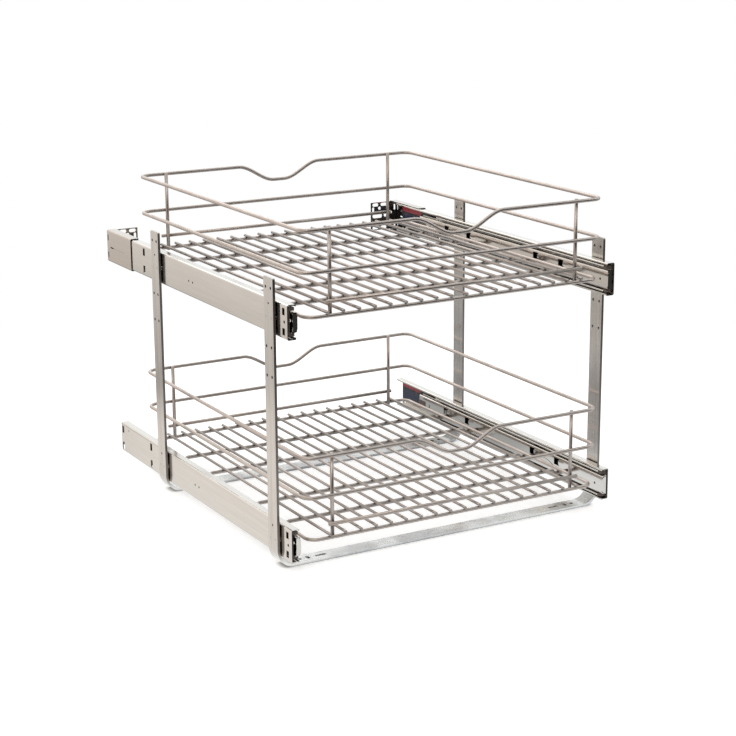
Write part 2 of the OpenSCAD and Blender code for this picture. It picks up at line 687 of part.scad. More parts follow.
module upper_left_inner_balls() { color("gray") at_slide(upper_z, -1) inner_balls(); }
module upper_right_inner_balls() { color("gray") at_slide(upper_z, 1) inner_balls(); }
module lower_left_inner_balls() { color("gray") at_slide(lower_z, -1) inner_balls(); }
module lower_right_inner_balls() { color("gray") at_slide(lower_z, 1) inner_balls(); }
module upper_left_drawer_member() { color("steelblue") at_slide(upper_z, -1) drawer_member(); }
module upper_right_drawer_member() { color("steelblue") at_slide(upper_z, 1) drawer_member(); }
module lower_left_drawer_member() { color("steelblue") at_slide(lower_z, -1) drawer_member(); }
module lower_right_drawer_member() { color("steelblue") at_slide(lower_z, 1) drawer_member(); }
module upper_left_rear_catch() { color("black") at_slide(upper_z, -1) rear_catch(); }
module upper_right_rear_catch() { color("black") at_slide(upper_z, 1) rear_catch(); }
module lower_left_rear_catch() { color("black") at_slide(lower_z, -1) rear_catch(); }
module lower_right_rear_catch() { color("black") at_slide(lower_z, 1) rear_catch(); }
module upper_basket_top_wire() { color("rosybrown") translate([0, 0, upper_z]) top_wire(); }
module upper_basket_middle_wire() { color("peru") translate([0, 0, upper_z]) middle_wire(); }
module upper_basket_bottom_wire() { color("sienna") translate([0, 0, upper_z]) bottom_wire(); }
module upper_basket_end_wires() { color("orange") translate([0, 0, upper_z]) end_wires(); }
module upper_basket_posts() { color("brown") translate([0, 0, upper_z]) posts(); }
module upper_basket_floor_wires() { color("khaki") translate([0, 0, upper_z]) floor_wires(); }
module upper_basket_cross_wires() { color("maroon") translate([0, 0, upper_z]) cross_wires(); }
module lower_basket_top_wire() { color("rosybrown") translate([0, 0, lower_z]) top_wire(); }
module lower_basket_middle_wire() { color("peru") translate([0, 0, lower_z]) middle_wire(); }
module lower_basket_bottom_wire() { color("sienna") translate([0, 0, lower_z]) bottom_wire(); }
module lower_basket_end_wires() { color("orange") translate([0, 0, lower_z]) end_wires(); }
module lower_basket_posts() { color("brown") translate([0, 0, lower_z]) posts(); }
module lower_basket_floor_wires() { color("khaki") translate([0, 0, lower_z]) floor_wires(); }
module lower_basket_cross_wires() { color("maroon") translate([0, 0, lower_z]) cross_wires(); }

front_u_frame();
rear_u_frame();
upper_left_cabinet_member();
upper_right_cabinet_member();
lower_left_cabinet_member();
lower_right_cabinet_member();
upper_slide_screws();
lower_slide_screws();
slide_labels();
upper_left_rear_bracket();
upper_right_rear_bracket();
upper_left_intermediate();
upper_right_intermediate();
lower_left_intermediate();
lower_right_intermediate();
upper_left_front_buffer();
upper_right_front_buffer();
lower_left_front_buffer();
lower_right_front_buffer();
upper_left_outer_cage();
upper_right_outer_cage();
lower_left_outer_cage();
lower_right_outer_cage();
upper_left_outer_balls();
upper_right_outer_balls();
lower_left_outer_balls();
lower_right_outer_balls();
upper_left_inner_cages();
upper_right_inner_cages();
lower_left_inner_cages();
lower_right_inner_cages();
upper_left_inner_balls();
upper_right_inner_balls();
lower_left_inner_balls();
lower_right_inner_balls();
upper_left_drawer_member();
upper_right_drawer_member();
lower_left_drawer_member();
lower_right_drawer_member();
upper_left_rear_catch();
upper_right_rear_catch();
lower_left_rear_catch();
lower_right_rear_catch();
upper_basket_top_wire();
upper_basket_middle_wire();
upper_basket_bottom_wire();
upper_basket_end_wires();
upper_basket_posts();
upper_basket_floor_wires();
upper_basket_cross_wires();
lower_basket_top_wire();
lower_basket_middle_wire();
lower_basket_bottom_wire();
lower_basket_end_wires();
lower_basket_posts();
lower_basket_floor_wires();
lower_basket_cross_wires();
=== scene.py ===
import json
import math

import bmesh
import bpy
from mathutils import Matrix, Vector


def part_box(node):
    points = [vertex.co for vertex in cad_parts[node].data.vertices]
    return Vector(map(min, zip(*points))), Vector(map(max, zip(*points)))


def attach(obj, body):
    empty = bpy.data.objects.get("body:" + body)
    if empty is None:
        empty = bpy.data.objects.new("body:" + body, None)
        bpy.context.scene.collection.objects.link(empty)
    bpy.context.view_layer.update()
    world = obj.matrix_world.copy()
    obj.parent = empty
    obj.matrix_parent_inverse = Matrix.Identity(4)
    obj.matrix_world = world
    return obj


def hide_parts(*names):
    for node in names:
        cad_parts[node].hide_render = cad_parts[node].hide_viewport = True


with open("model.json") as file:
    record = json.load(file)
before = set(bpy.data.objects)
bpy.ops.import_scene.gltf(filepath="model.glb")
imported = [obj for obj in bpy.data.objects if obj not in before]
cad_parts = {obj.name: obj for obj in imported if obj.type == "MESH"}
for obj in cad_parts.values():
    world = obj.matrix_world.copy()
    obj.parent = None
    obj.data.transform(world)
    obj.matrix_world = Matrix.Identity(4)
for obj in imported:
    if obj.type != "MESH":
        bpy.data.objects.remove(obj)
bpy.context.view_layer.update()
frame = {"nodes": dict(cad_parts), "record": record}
nodes = frame["nodes"]
print("frame loaded,", len(nodes), "nodes")

mm = 0.001

# the right cabinet members tell how high each pair of slides is and where the slides begin
slideBoxes = {level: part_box(level + "_right_cabinet_member") for level in ("upper", "lower")}
levels = {level: (low.z + high.z) / 2 for level, (low, high) in slideBoxes.items()}
slideFront = slideBoxes["upper"][0].y


# ---------- small helpers for shader nodes

nodeGrid = {"columns": 10, "across": 220, "down": 320}  # layout in the node editor


def feed(tree, socket, value):
    # a socket takes a link from another node, or a plain number, vector or colour
    if isinstance(value, bpy.types.NodeSocket):
        tree.links.new(value, socket)
    elif socket.type == "RGBA" and len(value) == 3:
        socket.default_value = (*value, 1)
    else:
        socket.default_value = value


def setInputs(tree, node, **values):
    for key, value in values.items():
        feed(tree, node.inputs[key.replace("_", " ")], value)


def newNode(tree, kind, **values):
    # names in small letters are the node's own settings, the others are its inputs
    row, column = divmod(len(tree.nodes), nodeGrid["columns"])
    node = tree.nodes.new(kind)
    node.location = (column * nodeGrid["across"], -row * nodeGrid["down"])
    for key, value in values.items():
        if key.islower():
            setattr(node, key, value)
        else:
            setInputs(tree, node, **{key: value})
    return node


def mathNode(tree, operation, *values, clamp=False):
    node = newNode(tree, "ShaderNodeMath", operation=operation, use_clamp=clamp)
    for socket, value in zip(node.inputs, values):
        feed(tree, socket, value)
    return node.outputs[0]


def multiply(tree, a, b):
    return mathNode(tree, "MULTIPLY", a, b)


def mixColour(tree, factor, a, b, blend="MIX"):
    node = newNode(tree, "ShaderNodeMix", data_type="RGBA", blend_type=blend)
    for index, value in ((0, factor), (6, a), (7, b)):  # the colour sockets come after the others
        feed(tree, node.inputs[index], value)
    return node.outputs[2]


def mixShaders(tree, factor, a, b):
    node = newNode(tree, "ShaderNodeMixShader")
    for socket, value in zip(node.inputs, (factor, a, b)):
        feed(tree, socket, value)
    return node.outputs[0]


def ramp(tree, value, low, high, outLow=0.0, outHigh=1.0):
    # eases from outLow to outHigh while the value goes from low to high
    return newNode(tree, "ShaderNodeMapRange", interpolation_type="SMOOTHSTEP", Value=value,
                   From_Min=low, From_Max=high, To_Min=outLow, To_Max=outHigh).outputs[0]


def splitVector(tree, vector):
    return newNode(tree, "ShaderNodeSeparateXYZ", Vector=vector).outputs


def facingOf(tree):
    return splitVector(tree, newNode(tree, "ShaderNodeNewGeometry").outputs["Normal"])


def noiseAt(tree, place, **values):
    return newNode(tree, "ShaderNodeTexNoise", Vector=place, **values).outputs[0]


def newGroup(name, outputs, **inputs):
    # every group takes a place, and its other inputs start at the values given here
    group = bpy.data.node_groups.new(name, "ShaderNodeTree")
    group.interface.new_socket("Place", in_out="INPUT", socket_type="NodeSocketVector")
    for label, value in inputs.items():
        kind = "NodeSocketVector" if isinstance(value, tuple) else "NodeSocketFloat"
        group.interface.new_socket(label, in_out="INPUT", socket_type=kind).default_value = value
    for label in outputs:
        group.interface.new_socket(label, in_out="OUTPUT", socket_type="NodeSocketFloat")
    return group, newNode(group, "NodeGroupInput").outputs, newNode(group, "NodeGroupOutput")


def useGroup(tree, group, **values):
    node = newNode(tree, "ShaderNodeGroup", node_tree=group)
    setInputs(tree, node, **values)
    return node.outputs


# ---------- effects shared by several finishes

grainLook = {"broad": 3.0, "fine": 24.0, "fineShare": 0.45, "middle": 0.72}


def makeRolledGrain():
    # long faint streaks of rolled or drawn metal along the stretched axis
    look = grainLook
    group, start, end = newGroup("rolledGrain", ("Streaks", "Height"), Stretch=(60, 2, 60))
    stretched = newNode(group, "ShaderNodeVectorMath", operation="MULTIPLY")
    feed(group, stretched.inputs[0], start["Place"])
    feed(group, stretched.inputs[1], start["Stretch"])
    broad = noiseAt(group, stretched.outputs[0], Scale=look["broad"], Detail=3.0)
    fine = noiseAt(group, stretched.outputs[0], Scale=look["fine"], Detail=4.0)
    mixed = mathNode(group, "MULTIPLY_ADD", fine, look["fineShare"], broad)
    setInputs(group, end, Streaks=mathNode(group, "SUBTRACT", mixed, look["middle"]), Height=fine)
    return group


wearLook = {"radius": 0.5 * mm, "bend": (0.985, 0.86), "broken": (0.38, 0.62)}


def makeEdgeWear():
    # bright rubbed edges, broken up so that no edge wears evenly
    look = wearLook
    group, start, end = newGroup("edgeWear", ("Mask",), Breakup=120.0)
    soft = newNode(group, "ShaderNodeBevel", samples=4, Radius=look["radius"])
    sharp = newNode(group, "ShaderNodeNewGeometry")
    bend = newNode(group, "ShaderNodeVectorMath", operation="DOT_PRODUCT")
    feed(group, bend.inputs[0], soft.outputs[0])
    feed(group, bend.inputs[1], sharp.outputs["Normal"])
    edge = ramp(group, bend.outputs["Value"], *look["bend"])
    speck = noiseAt(group, start["Place"], Scale=start["Breakup"], Detail=3.0)
    setInputs(group, end, Mask=multiply(group, edge, ramp(group, speck, *look["broken"])))
    return group


dustLook = {"facingUp": (0.35, 1.0), "scale": 35.0, "patch": (0.35, 0.75)}


def makeDustFilm():
    # thin uneven film that lies on faces that look up
    look = dustLook
    group, start, end = newGroup("dustFilm", ("Mask",), Amount=0.2)
    up = ramp(group, facingOf(group)["Z"], *look["facingUp"])
    cloud = noiseAt(group, start["Place"], Scale=look["scale"], Detail=5.0)
    mask = multiply(group, up, ramp(group, cloud, *look["patch"]))
    setInputs(group, end, Mask=multiply(group, mask, start["Amount"]))
    return group


smearLook = {"detail": 6.0, "noiseRoughness": 0.62, "share": (0.3, 0.72)}


def makeHandling():
    # cloudy smears that show in the gloss of plated metal
    look = smearLook
    group, start, end = newGroup("handlingSmears", ("Roughness",), Scale=14.0, Low=0.2, High=0.4)
    cloud = noiseAt(group, start["Place"], Scale=start["Scale"], Detail=look["detail"],
                    Roughness=look["noiseRoughness"])
    share = ramp(group, cloud, *look["share"])
    span = mathNode(group, "SUBTRACT", start["High"], start["Low"])
    setInputs(group, end, Roughness=mathNode(group, "MULTIPLY_ADD", share, span, start["Low"]))
    return group


recessShadeLook = {"closeness": (0.85, 0.35), "scale": 90.0, "broken": (0.25, 0.6, 0.6, 1.0)}


def makeRecessShade():
    # painted shade where pieces lie close together: in recesses and holes, in the slides' channels
    # and where wires cross
    look = recessShadeLook
    group, start, end = newGroup("recessShade", ("Mask",), Reach=4 * mm, Amount=1.0)
    hollow = newNode(group, "ShaderNodeAmbientOcclusion", samples=6, Distance=start["Reach"])
    closeness = ramp(group, hollow.outputs["AO"], *look["closeness"])
    cloud = noiseAt(group, start["Place"], Scale=look["scale"], Detail=4.0)
    mask = multiply(group, closeness, ramp(group, cloud, *look["broken"]))
    setInputs(group, end, Mask=multiply(group, mask, start["Amount"]))
    return group


rolledGrain = makeRolledGrain()
edgeWear = makeEdgeWear()
dustFilm = makeDustFilm()
handlingSmears = makeHandling()
recessShade = makeRecessShade()
print("shared effects ready")


# ---------- finishes

def startMaterial(name):
    material = bpy.data.materials.new(name)
    material.use_nodes = True
    tree = material.node_tree
    tree.nodes.clear()
    shader = newNode(tree, "ShaderNodeBsdfPrincipled")
    output = newNode(tree, "ShaderNodeOutputMaterial")
    tree.links.new(shader.outputs[0], output.inputs[0])
    place = newNode(tree, "ShaderNodeTexCoord").outputs["Object"]
    return material, tree, shader, place


def fillShader(tree, shader, colour, roughness, height, bump, metallic=1.0):
    strength, depth = bump
    bumped = newNode(tree, "ShaderNodeBump", Strength=strength, Distance=depth, Height=height)
    setInputs(tree, shader, Base_Color=colour, Roughness=roughness, Metallic=metallic,
              Normal=bumped.outputs[0])


def smearedRoughness(tree, place, scale, rough):
    low, high = rough
    return useGroup(tree, handlingSmears, Place=place, Scale=scale, Low=low, High=high)["Roughness"]


# "tone" is how strongly the streaks show and the share of the light colour between them
zincBarLook = {
    "colour": (0.77, 0.735, 0.70), "dark": (0.53, 0.505, 0.48), "tone": (1.1, 0.5),
    "flatBelow": (26 * mm, 6 * mm),  # the bend between an upright and the floor part
    "spangle": ((0.62, 0.63, 0.64), (0.94, 0.95, 0.94)), "spangleScale": 13.0,
    "spangleRange": (0.36, 0.56), "spangleShare": 0.7,
    "sheared": (0.30, 0.275, 0.26), "shearedFacing": (0.6, 0.9), "shearedRough": 0.2,
    "edge": (0.86, 0.85, 0.81), "wearShare": 0.6,
    "barShade": (0.07, 0.06, 0.055), "barShadeReach": 6 * mm, "barShadeAmount": 0.9,
    "dust": (0.66, 0.65, 0.62), "dustAmount": 0.18, "dustRough": 0.4,
    "rough": (0.16, 0.30), "smearScale": 18.0, "streakRough": 0.12, "bump": (0.10, 0.05 * mm),
}


def zincBarFinish():
    look = zincBarLook
    material, tree, shader, place = startMaterial("zincPlatedBar")
    upright = useGroup(tree, rolledGrain, Place=place, Stretch=(70.0, 70.0, 3.0))
    flat = useGroup(tree, rolledGrain, Place=place, Stretch=(3.0, 70.0, 70.0))
    isFlat = ramp(tree, splitVector(tree, place)["Z"], *look["flatBelow"])
    isUpright = mathNode(tree, "SUBTRACT", 1.0, isFlat)
    # the grain turns with the bar at the bends
    streaks, height = (mathNode(tree, "ADD", multiply(tree, upright[label], isUpright),
                                multiply(tree, flat[label], isFlat))
                       for label in ("Streaks", "Height"))
    tone = mathNode(tree, "MULTIPLY_ADD", streaks, *look["tone"], clamp=True)
    colour = mixColour(tree, tone, look["dark"], look["colour"])
    # cloudy blue-grey patches of zinc on the floor part
    patch = noiseAt(tree, place, Scale=look["spangleScale"], Detail=2.0)
    cloudy = mixColour(tree, ramp(tree, patch, *look["spangleRange"]), *look["spangle"])
    colour = mixColour(tree, multiply(tree, isFlat, look["spangleShare"]), colour, cloudy)
    # the slit edges of the uprights are dull, and the plating is thin on them
    sideways = mathNode(tree, "ABSOLUTE", facingOf(tree)["Y"])
    slit = multiply(tree, ramp(tree, sideways, *look["shearedFacing"]), isUpright)
    colour = mixColour(tree, slit, colour, look["sheared"])
    wear = useGroup(tree, edgeWear, Place=place)["Mask"]
    colour = mixColour(tree, multiply(tree, wear, look["wearShare"]), colour, look["edge"])
    # painted shade, darker in the holes, bends and recesses of the bar
    barShade = useGroup(tree, recessShade, Place=place, Reach=look["barShadeReach"],
                     Amount=look["barShadeAmount"])["Mask"]
    colour = mixColour(tree, barShade, colour, look["barShade"])
    dust = useGroup(tree, dustFilm, Place=place, Amount=look["dustAmount"])["Mask"]
    colour = mixColour(tree, dust, colour, look["dust"])
    rough = smearedRoughness(tree, place, look["smearScale"], look["rough"])
    for mask, share in ((streaks, look["streakRough"]), (slit, look["shearedRough"]),
                        (dust, look["dustRough"])):
        rough = mathNode(tree, "MULTIPLY_ADD", mask, share, rough, clamp=True)
    fillShader(tree, shader, colour, rough, height, look["bump"])
    return material


slideLook = {
    "colour": (0.75, 0.715, 0.675), "dark": (0.63, 0.60, 0.565), "tone": (0.9, 0.6),
    "innerFacing": (-0.1, -0.2),
    "edge": (0.90, 0.88, 0.84), "breakup": 160.0,
    "dust": (0.70, 0.68, 0.64), "dustAmount": 0.12,
    "channelShade": (0.10, 0.09, 0.08), "channelShadeReach": 6 * mm, "channelShadeAmount": 0.8,
    "rough": (0.10, 0.20), "smearScale": 16.0, "streakRough": 0.08, "bump": (0.06, 0.04 * mm),
}


def slideFinish(name, tint, innerShade=(1.0, 1.0, 1.0)):
    look = slideLook
    material, tree, shader, place = startMaterial(name)
    grain = useGroup(tree, rolledGrain, Place=place, Stretch=(60.0, 2.0, 60.0))
    tone = mathNode(tree, "MULTIPLY_ADD", grain["Streaks"], *look["tone"], clamp=True)
    colour = mixColour(tree, tone, look["dark"], look["colour"])
    colour = mixColour(tree, 1.0, colour, tint, "MULTIPLY")
    # painted shade: faces that look towards the middle of the object are darkened by the inner
    # shade tint
    towards = multiply(tree, facingOf(tree)["X"], splitVector(tree, place)["X"])
    colour = mixColour(tree, ramp(tree, towards, *look["innerFacing"]), colour,
                       mixColour(tree, 1.0, colour, innerShade, "MULTIPLY"))
    wear = useGroup(tree, edgeWear, Place=place, Breakup=look["breakup"])["Mask"]
    colour = mixColour(tree, wear, colour, look["edge"])
    dust = useGroup(tree, dustFilm, Place=place, Amount=look["dustAmount"])["Mask"]
    colour = mixColour(tree, dust, colour, look["dust"])
    # painted shade, darker in the channels and gaps between the slide members
    channelShade = useGroup(tree, recessShade, Place=place, Reach=look["channelShadeReach"],
                      Amount=look["channelShadeAmount"])["Mask"]
    colour = mixColour(tree, channelShade, colour, look["channelShade"])
    smear = smearedRoughness(tree, place, look["smearScale"], look["rough"])
    rough = mathNode(tree, "MULTIPLY_ADD", grain["Streaks"], look["streakRough"], smear, clamp=True)
    fillShader(tree, shader, colour, rough, grain["Height"], look["bump"])
    return material


wireLook = {
    "colour": (0.59, 0.52, 0.48), "dark": (0.515, 0.45, 0.41), "light": (0.65, 0.59, 0.555),
    "cloudScale": 28.0, "cloud": (0.3, 0.7), "speckScale": 420.0, "speck": (0.55, 0.75, 0.0, 0.5),
    "dustAmount": 0.15,
    "crossingShade": (0.10, 0.08, 0.07), "crossingShadeReach": 3 * mm, "crossingShadeAmount": 0.8,
    "rough": (0.36, 0.46), "smearScale": 40.0, "bump": (0.12, 0.05 * mm),
}


def wireFinish(name, tint):
    look = wireLook
    material, tree, shader, place = startMaterial(name)
    cloud = noiseAt(tree, place, Scale=look["cloudScale"], Detail=5.0)
    colour = mixColour(tree, ramp(tree, cloud, *look["cloud"]), look["dark"], look["colour"])
    speck = noiseAt(tree, place, Scale=look["speckScale"], Detail=3.0)
    colour = mixColour(tree, ramp(tree, speck, *look["speck"]), colour, look["light"])
    dust = useGroup(tree, dustFilm, Place=place, Amount=look["dustAmount"])["Mask"]
    colour = mixColour(tree, dust, colour, look["light"])
    colour = mixColour(tree, 1.0, colour, tint, "MULTIPLY")
    # painted shadow where the wires cross and touch
    crossingShade = useGroup(tree, recessShade, Place=place, Reach=look["crossingShadeReach"],
                    Amount=look["crossingShadeAmount"])["Mask"]
    colour = mixColour(tree, crossingShade, colour, look["crossingShade"])
    rough = smearedRoughness(tree, place, look["smearScale"], look["rough"])
    fillShader(tree, shader, colour, rough, speck, look["bump"])
    return material


steelLooks = {
    "polishedBall": {"colour": (0.72, 0.72, 0.72), "dark": (0.60, 0.60, 0.60),
                     "rough": (0.08, 0.16), "scale": 300.0},
    # grease and painted shade: the cage is kept dark so that the gaps between the slide members
    # look dark
    "greaseAndShadeCage": {"colour": (0.42, 0.40, 0.37), "dark": (0.26, 0.25, 0.23),
                    "rough": (0.28, 0.45), "scale": 90.0},
    "zincScrew": {"colour": (0.62, 0.61, 0.58), "dark": (0.48, 0.47, 0.45),
                  "rough": (0.22, 0.36), "scale": 200.0},
}
steelShared = {"cloud": (0.3, 0.7), "breakup": 220.0, "lighter": 1.18, "smearScale": 0.5,
               "bump": (0.08, 0.04 * mm)}


def steelFinish(name):
    look = {**steelShared, **steelLooks[name]}
    material, tree, shader, place = startMaterial(name)
    cloud = noiseAt(tree, place, Scale=look["scale"], Detail=4.0)
    colour = mixColour(tree, ramp(tree, cloud, *look["cloud"]), look["dark"], look["colour"])
    wear = useGroup(tree, edgeWear, Place=place, Breakup=look["breakup"])["Mask"]
    edge = tuple(min(1.0, part * look["lighter"]) for part in look["colour"])
    colour = mixColour(tree, wear, colour, edge)
    rough = smearedRoughness(tree, place, look["scale"] * look["smearScale"], look["rough"])
    fillShader(tree, shader, colour, rough, cloud, look["bump"])
    return material


plasticLook = {
    "dark": (0.095, 0.068, 0.058), "light": (0.150, 0.110, 0.097), "edge": (0.16, 0.14, 0.13),
    "gritScale": 900.0, "cloudScale": 60.0, "cloud": (0.3, 0.7), "breakup": 200.0,
    "wearShare": 0.5, "rough": (0.42, 0.58), "bump": (0.25, 0.05 * mm),
}


def plasticFinish():
    look = plasticLook
    material, tree, shader, place = startMaterial("mouldedBlackPlastic")
    grit = noiseAt(tree, place, Scale=look["gritScale"], Detail=3.0)
    cloud = noiseAt(tree, place, Scale=look["cloudScale"], Detail=4.0)
    colour = mixColour(tree, ramp(tree, cloud, *look["cloud"]), look["dark"], look["light"])
    wear = useGroup(tree, edgeWear, Place=place, Breakup=look["breakup"])["Mask"]
    colour = mixColour(tree, multiply(tree, wear, look["wearShare"]), colour, look["edge"])
    rough = ramp(tree, cloud, *look["cloud"], *look["rough"])
    fillShader(tree, shader, colour, rough, grit, look["bump"], metallic=0.0)
    return material


labelLook = {
    "red": (0.36, 0.035, 0.05), "navy": (0.022, 0.028, 0.06), "black": (0.010, 0.010, 0.012),
    "navyTop": 6.8 * mm, "redBottom": 9 * mm, "redStart": 501.8 * mm,
    "rubbed": (0.30, 0.28, 0.28), "rubScale": 150.0, "rub": (0.5, 0.8, 0.0, 0.25),
    "rough": (0.3, 0.7, 0.22, 0.38), "bump": (0.06, 0.05 * mm),
}


def labelFinish():
    # colour bands by height over each slide's centre, and no print
    look = labelLook
    material, tree, shader, place = startMaterial("bandedLabelFilm")
    spot = splitVector(tree, place)
    isUpper = mathNode(tree, "GREATER_THAN", spot["Z"], (levels["upper"] + levels["lower"]) / 2)
    centre = mathNode(tree, "MULTIPLY_ADD", isUpper, levels["upper"] - levels["lower"],
                      levels["lower"])
    rise = mathNode(tree, "SUBTRACT", spot["Z"], centre)
    depth = mathNode(tree, "SUBTRACT", spot["Y"], slideFront)
    isNavy = mathNode(tree, "LESS_THAN", rise, look["navyTop"])
    colour = mixColour(tree, isNavy, look["black"], look["navy"])
    isRed = multiply(tree, mathNode(tree, "GREATER_THAN", rise, look["redBottom"]),
                     mathNode(tree, "GREATER_THAN", depth, look["redStart"]))
    colour = mixColour(tree, isRed, colour, look["red"])
    # the glued side, which shows through the slide's slots, is plain black
    outward = multiply(tree, facingOf(tree)["X"], spot["X"])
    isGlued = mathNode(tree, "GREATER_THAN", outward, 0.0)
    colour = mixColour(tree, isGlued, colour, look["black"])
    rub = noiseAt(tree, place, Scale=look["rubScale"], Detail=5.0)
    colour = mixColour(tree, ramp(tree, rub, *look["rub"]), colour, look["rubbed"])
    fillShader(tree, shader, colour, ramp(tree, rub, *look["rough"]), rub, look["bump"],
               metallic=0.0)
    return material


finishes = {
    "zinc_bar": zincBarFinish(),
    "slide_steel": slideFinish("zincPlatedSlide", (1.0, 1.0, 1.0)),
    # the bracket's inner faces are darkened with painted shade
    "bracket": slideFinish("zincPlatedBracket", (0.84, 0.80, 0.77), innerShade=(0.22, 0.24, 0.27)),
    "nickel_wire": wireFinish("satinNickelWire", (1.0, 1.0, 1.0)),
    "floor_wire": wireFinish("dullNickelWire", (0.84, 0.85, 0.86)),
    "ball_steel": steelFinish("polishedBall"),
    "cage_steel": steelFinish("greaseAndShadeCage"),
    "screw_steel": steelFinish("zincScrew"),
    "black_plastic": plasticFinish(),
    "label_film": labelFinish(),
}
slotOf = {part["node"]: part["material_slot"] for part in frame["record"]["subparts"]}
for name, obj in nodes.items():
    obj.data.materials.clear()
    obj.data.materials.append(finishes["bracket" if name.endswith("_bracket") else slotOf[name]])
print("finishes ready:", len(finishes))


# ---------- basket wires as smooth round rod

basket = {
    "corner": 15, "rim": 5, "floor": 4, "cross": 5.5, "floorCount": 18,
    "scoopHalf": 67, "scoopFlat": 9, "scoopDepth": 23, "scoopSteps": 14, "cornerSteps": 10,
    "crossAt": (82, 168, 318, 403), "weld": 0.05,  # cross wires measured from the slides' front
    "crankGap": 9, "crankLength": 6, "crankSteps": 8,  # where the ends of the cross wires step down
}
rod = {"sides": 6, "joined": 0.001, "burr": 0.09, "burrSteps": 2}  # the burr is a share of the rod


def basketBox(piece):
    # corners of one CAD basket piece in millimetres, heights measured from the slides
    low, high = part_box("upper_basket_" + piece)
    shift = Vector((0, 0, levels["upper"]))
    return (low - shift) / mm, (high - shift) / mm


def measureBasket():
    r = basket["rim"] / 2
    low, high = basketBox("top_wire")
    basket.update(front=low.y + r, back=high.y - r, rimHalf=high.x - r, top=high.z - r)
    basket["middle"] = basketBox("middle_wire")[1].z - r
    basket["base"] = basketBox("bottom_wire")[1].z - r
    basket["baseHalf"] = basketBox("bottom_wire")[1].x - r
    basket["rail"] = basketBox("end_wires")[1].z - r
    basket["railHalf"] = basketBox("end_wires")[1].x
    basket["postX"] = basketBox("posts")[1].x - r
    high = basketBox("floor_wires")[1]
    basket["floorBack"] = high.y
    basket["floorHalf"] = high.x - basket["floor"] / 2
    basket["crossHalf"] = basketBox("cross_wires")[1].x


measureBasket()
basketFront = basket["front"] * mm
basketBack = basket["back"] * mm
print("basket measured from the frame")


def rodMesh(name, lines, diameter, closed=False):
    # each line is a list of points that the middle of a round rod follows
    curve = bpy.data.curves.new(name + "Line", "CURVE")
    curve.dimensions = "3D"
    curve.bevel_depth = diameter * mm / 2
    curve.bevel_resolution = rod["sides"]
    curve.use_fill_caps = True
    for line in lines:
        spline = curve.splines.new("POLY")
        spline.points.add(len(line) - 1)
        for point, place in zip(spline.points, line):
            point.co = (*place, 1)
        spline.use_cyclic_u = closed
    holder = bpy.data.objects.new(name + "Line", curve)
    bpy.context.scene.collection.objects.link(holder)
    bpy.context.view_layer.update()
    seen = holder.evaluated_get(bpy.context.evaluated_depsgraph_get())
    mesh = bpy.data.meshes.new_from_object(seen)
    bpy.data.objects.remove(holder)
    bpy.data.curves.remove(curve)
    work = bmesh.new()
    work.from_mesh(mesh)
    bmesh.ops.remove_doubles(work, verts=work.verts, dist=rod["joined"] * mm)
    if not closed:  # sheared ends with the burr taken off
        rims = [edge for edge in work.edges if len(edge.link_faces) == 2
                and any(len(face.verts) > 4 for face in edge.link_faces)]
        bmesh.ops.bevel(work, geom=rims, offset=diameter * rod["burr"] * mm,
                        segments=rod["burrSteps"], profile=0.5, affect="EDGES", material=-1)
    bmesh.ops.recalc_face_normals(work, faces=work.faces)
    for face in work.faces:
        face.smooth = len(face.verts) <= 4
    mesh.clear_geometry()
    work.to_mesh(mesh)
    work.free()
    mesh.name = name
    return mesh


def cornerPoints(x, y, start, z):
    radius = basket["corner"] * mm
    steps = basket["cornerSteps"]
    turns = [math.radians(start + 90 * k / steps) for k in range(steps + 1)]
    return [(x + radius * math.cos(turn), y + radius * math.sin(turn), z) for turn in turns]


def ease(share):
    return share * share * (3 - 2 * share)


def scoopDrop(x):
    share = (basket["scoopHalf"] - abs(x)) / (basket["scoopHalf"] - basket["scoopFlat"])
    return -basket["scoopDepth"] * ease(min(1.0, max(0.0, share)))


def ringLine(halfWidth, z, scooped=False):
    half = (halfWidth - basket["corner"]) * mm
    low = basketFront + basket["corner"] * mm
    high = basketBack - basket["corner"] * mm
    steps = basket["scoopSteps"]
    scoopXs = [basket["scoopHalf"] * k / steps for k in range(-steps, steps + 1)] if scooped else []
    line = [(x * mm, basketFront, z + scoopDrop(x) * mm) for x in scoopXs]
    line += cornerPoints(half, low, -90, z) + cornerPoints(half, high, 0, z)
    line += [(x * mm, basketBack, z + scoopDrop(x) * mm) for x in reversed(scoopXs)]
    line += cornerPoints(-half, high, 90, z) + cornerPoints(-half, low, 180, z)
    return line


def crossLine(y, z):
    # straight below the floor wires, then down and under the bottom wire at both ends
    inner = basket["baseHalf"] - basket["rim"] / 2 - basket["crankGap"]
    outer = inner + basket["crankLength"]
    high = z + (basket["base"] - (basket["cross"] - basket["rim"]) / 2) * mm
    low = z + (basket["base"] - (basket["rim"] + basket["cross"]) / 2 - basket["weld"]) * mm
    steps = basket["crankSteps"]
    half = [((inner + (outer - inner) * k / steps) * mm, y, high + (low - high) * ease(k / steps))
            for k in range(steps + 1)]
    half.append((basket["crossHalf"] * mm, y, low))
    return [(-px, py, pz) for px, py, pz in reversed(half)] + half


def addPiece(name, mesh, body, cadNode, finish):
    obj = bpy.data.objects.new(name, mesh)
    bpy.context.scene.collection.objects.link(obj)
    mesh.materials.clear()
    mesh.materials.append(finishes[finish])
    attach(obj, body)
    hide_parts(cadNode)


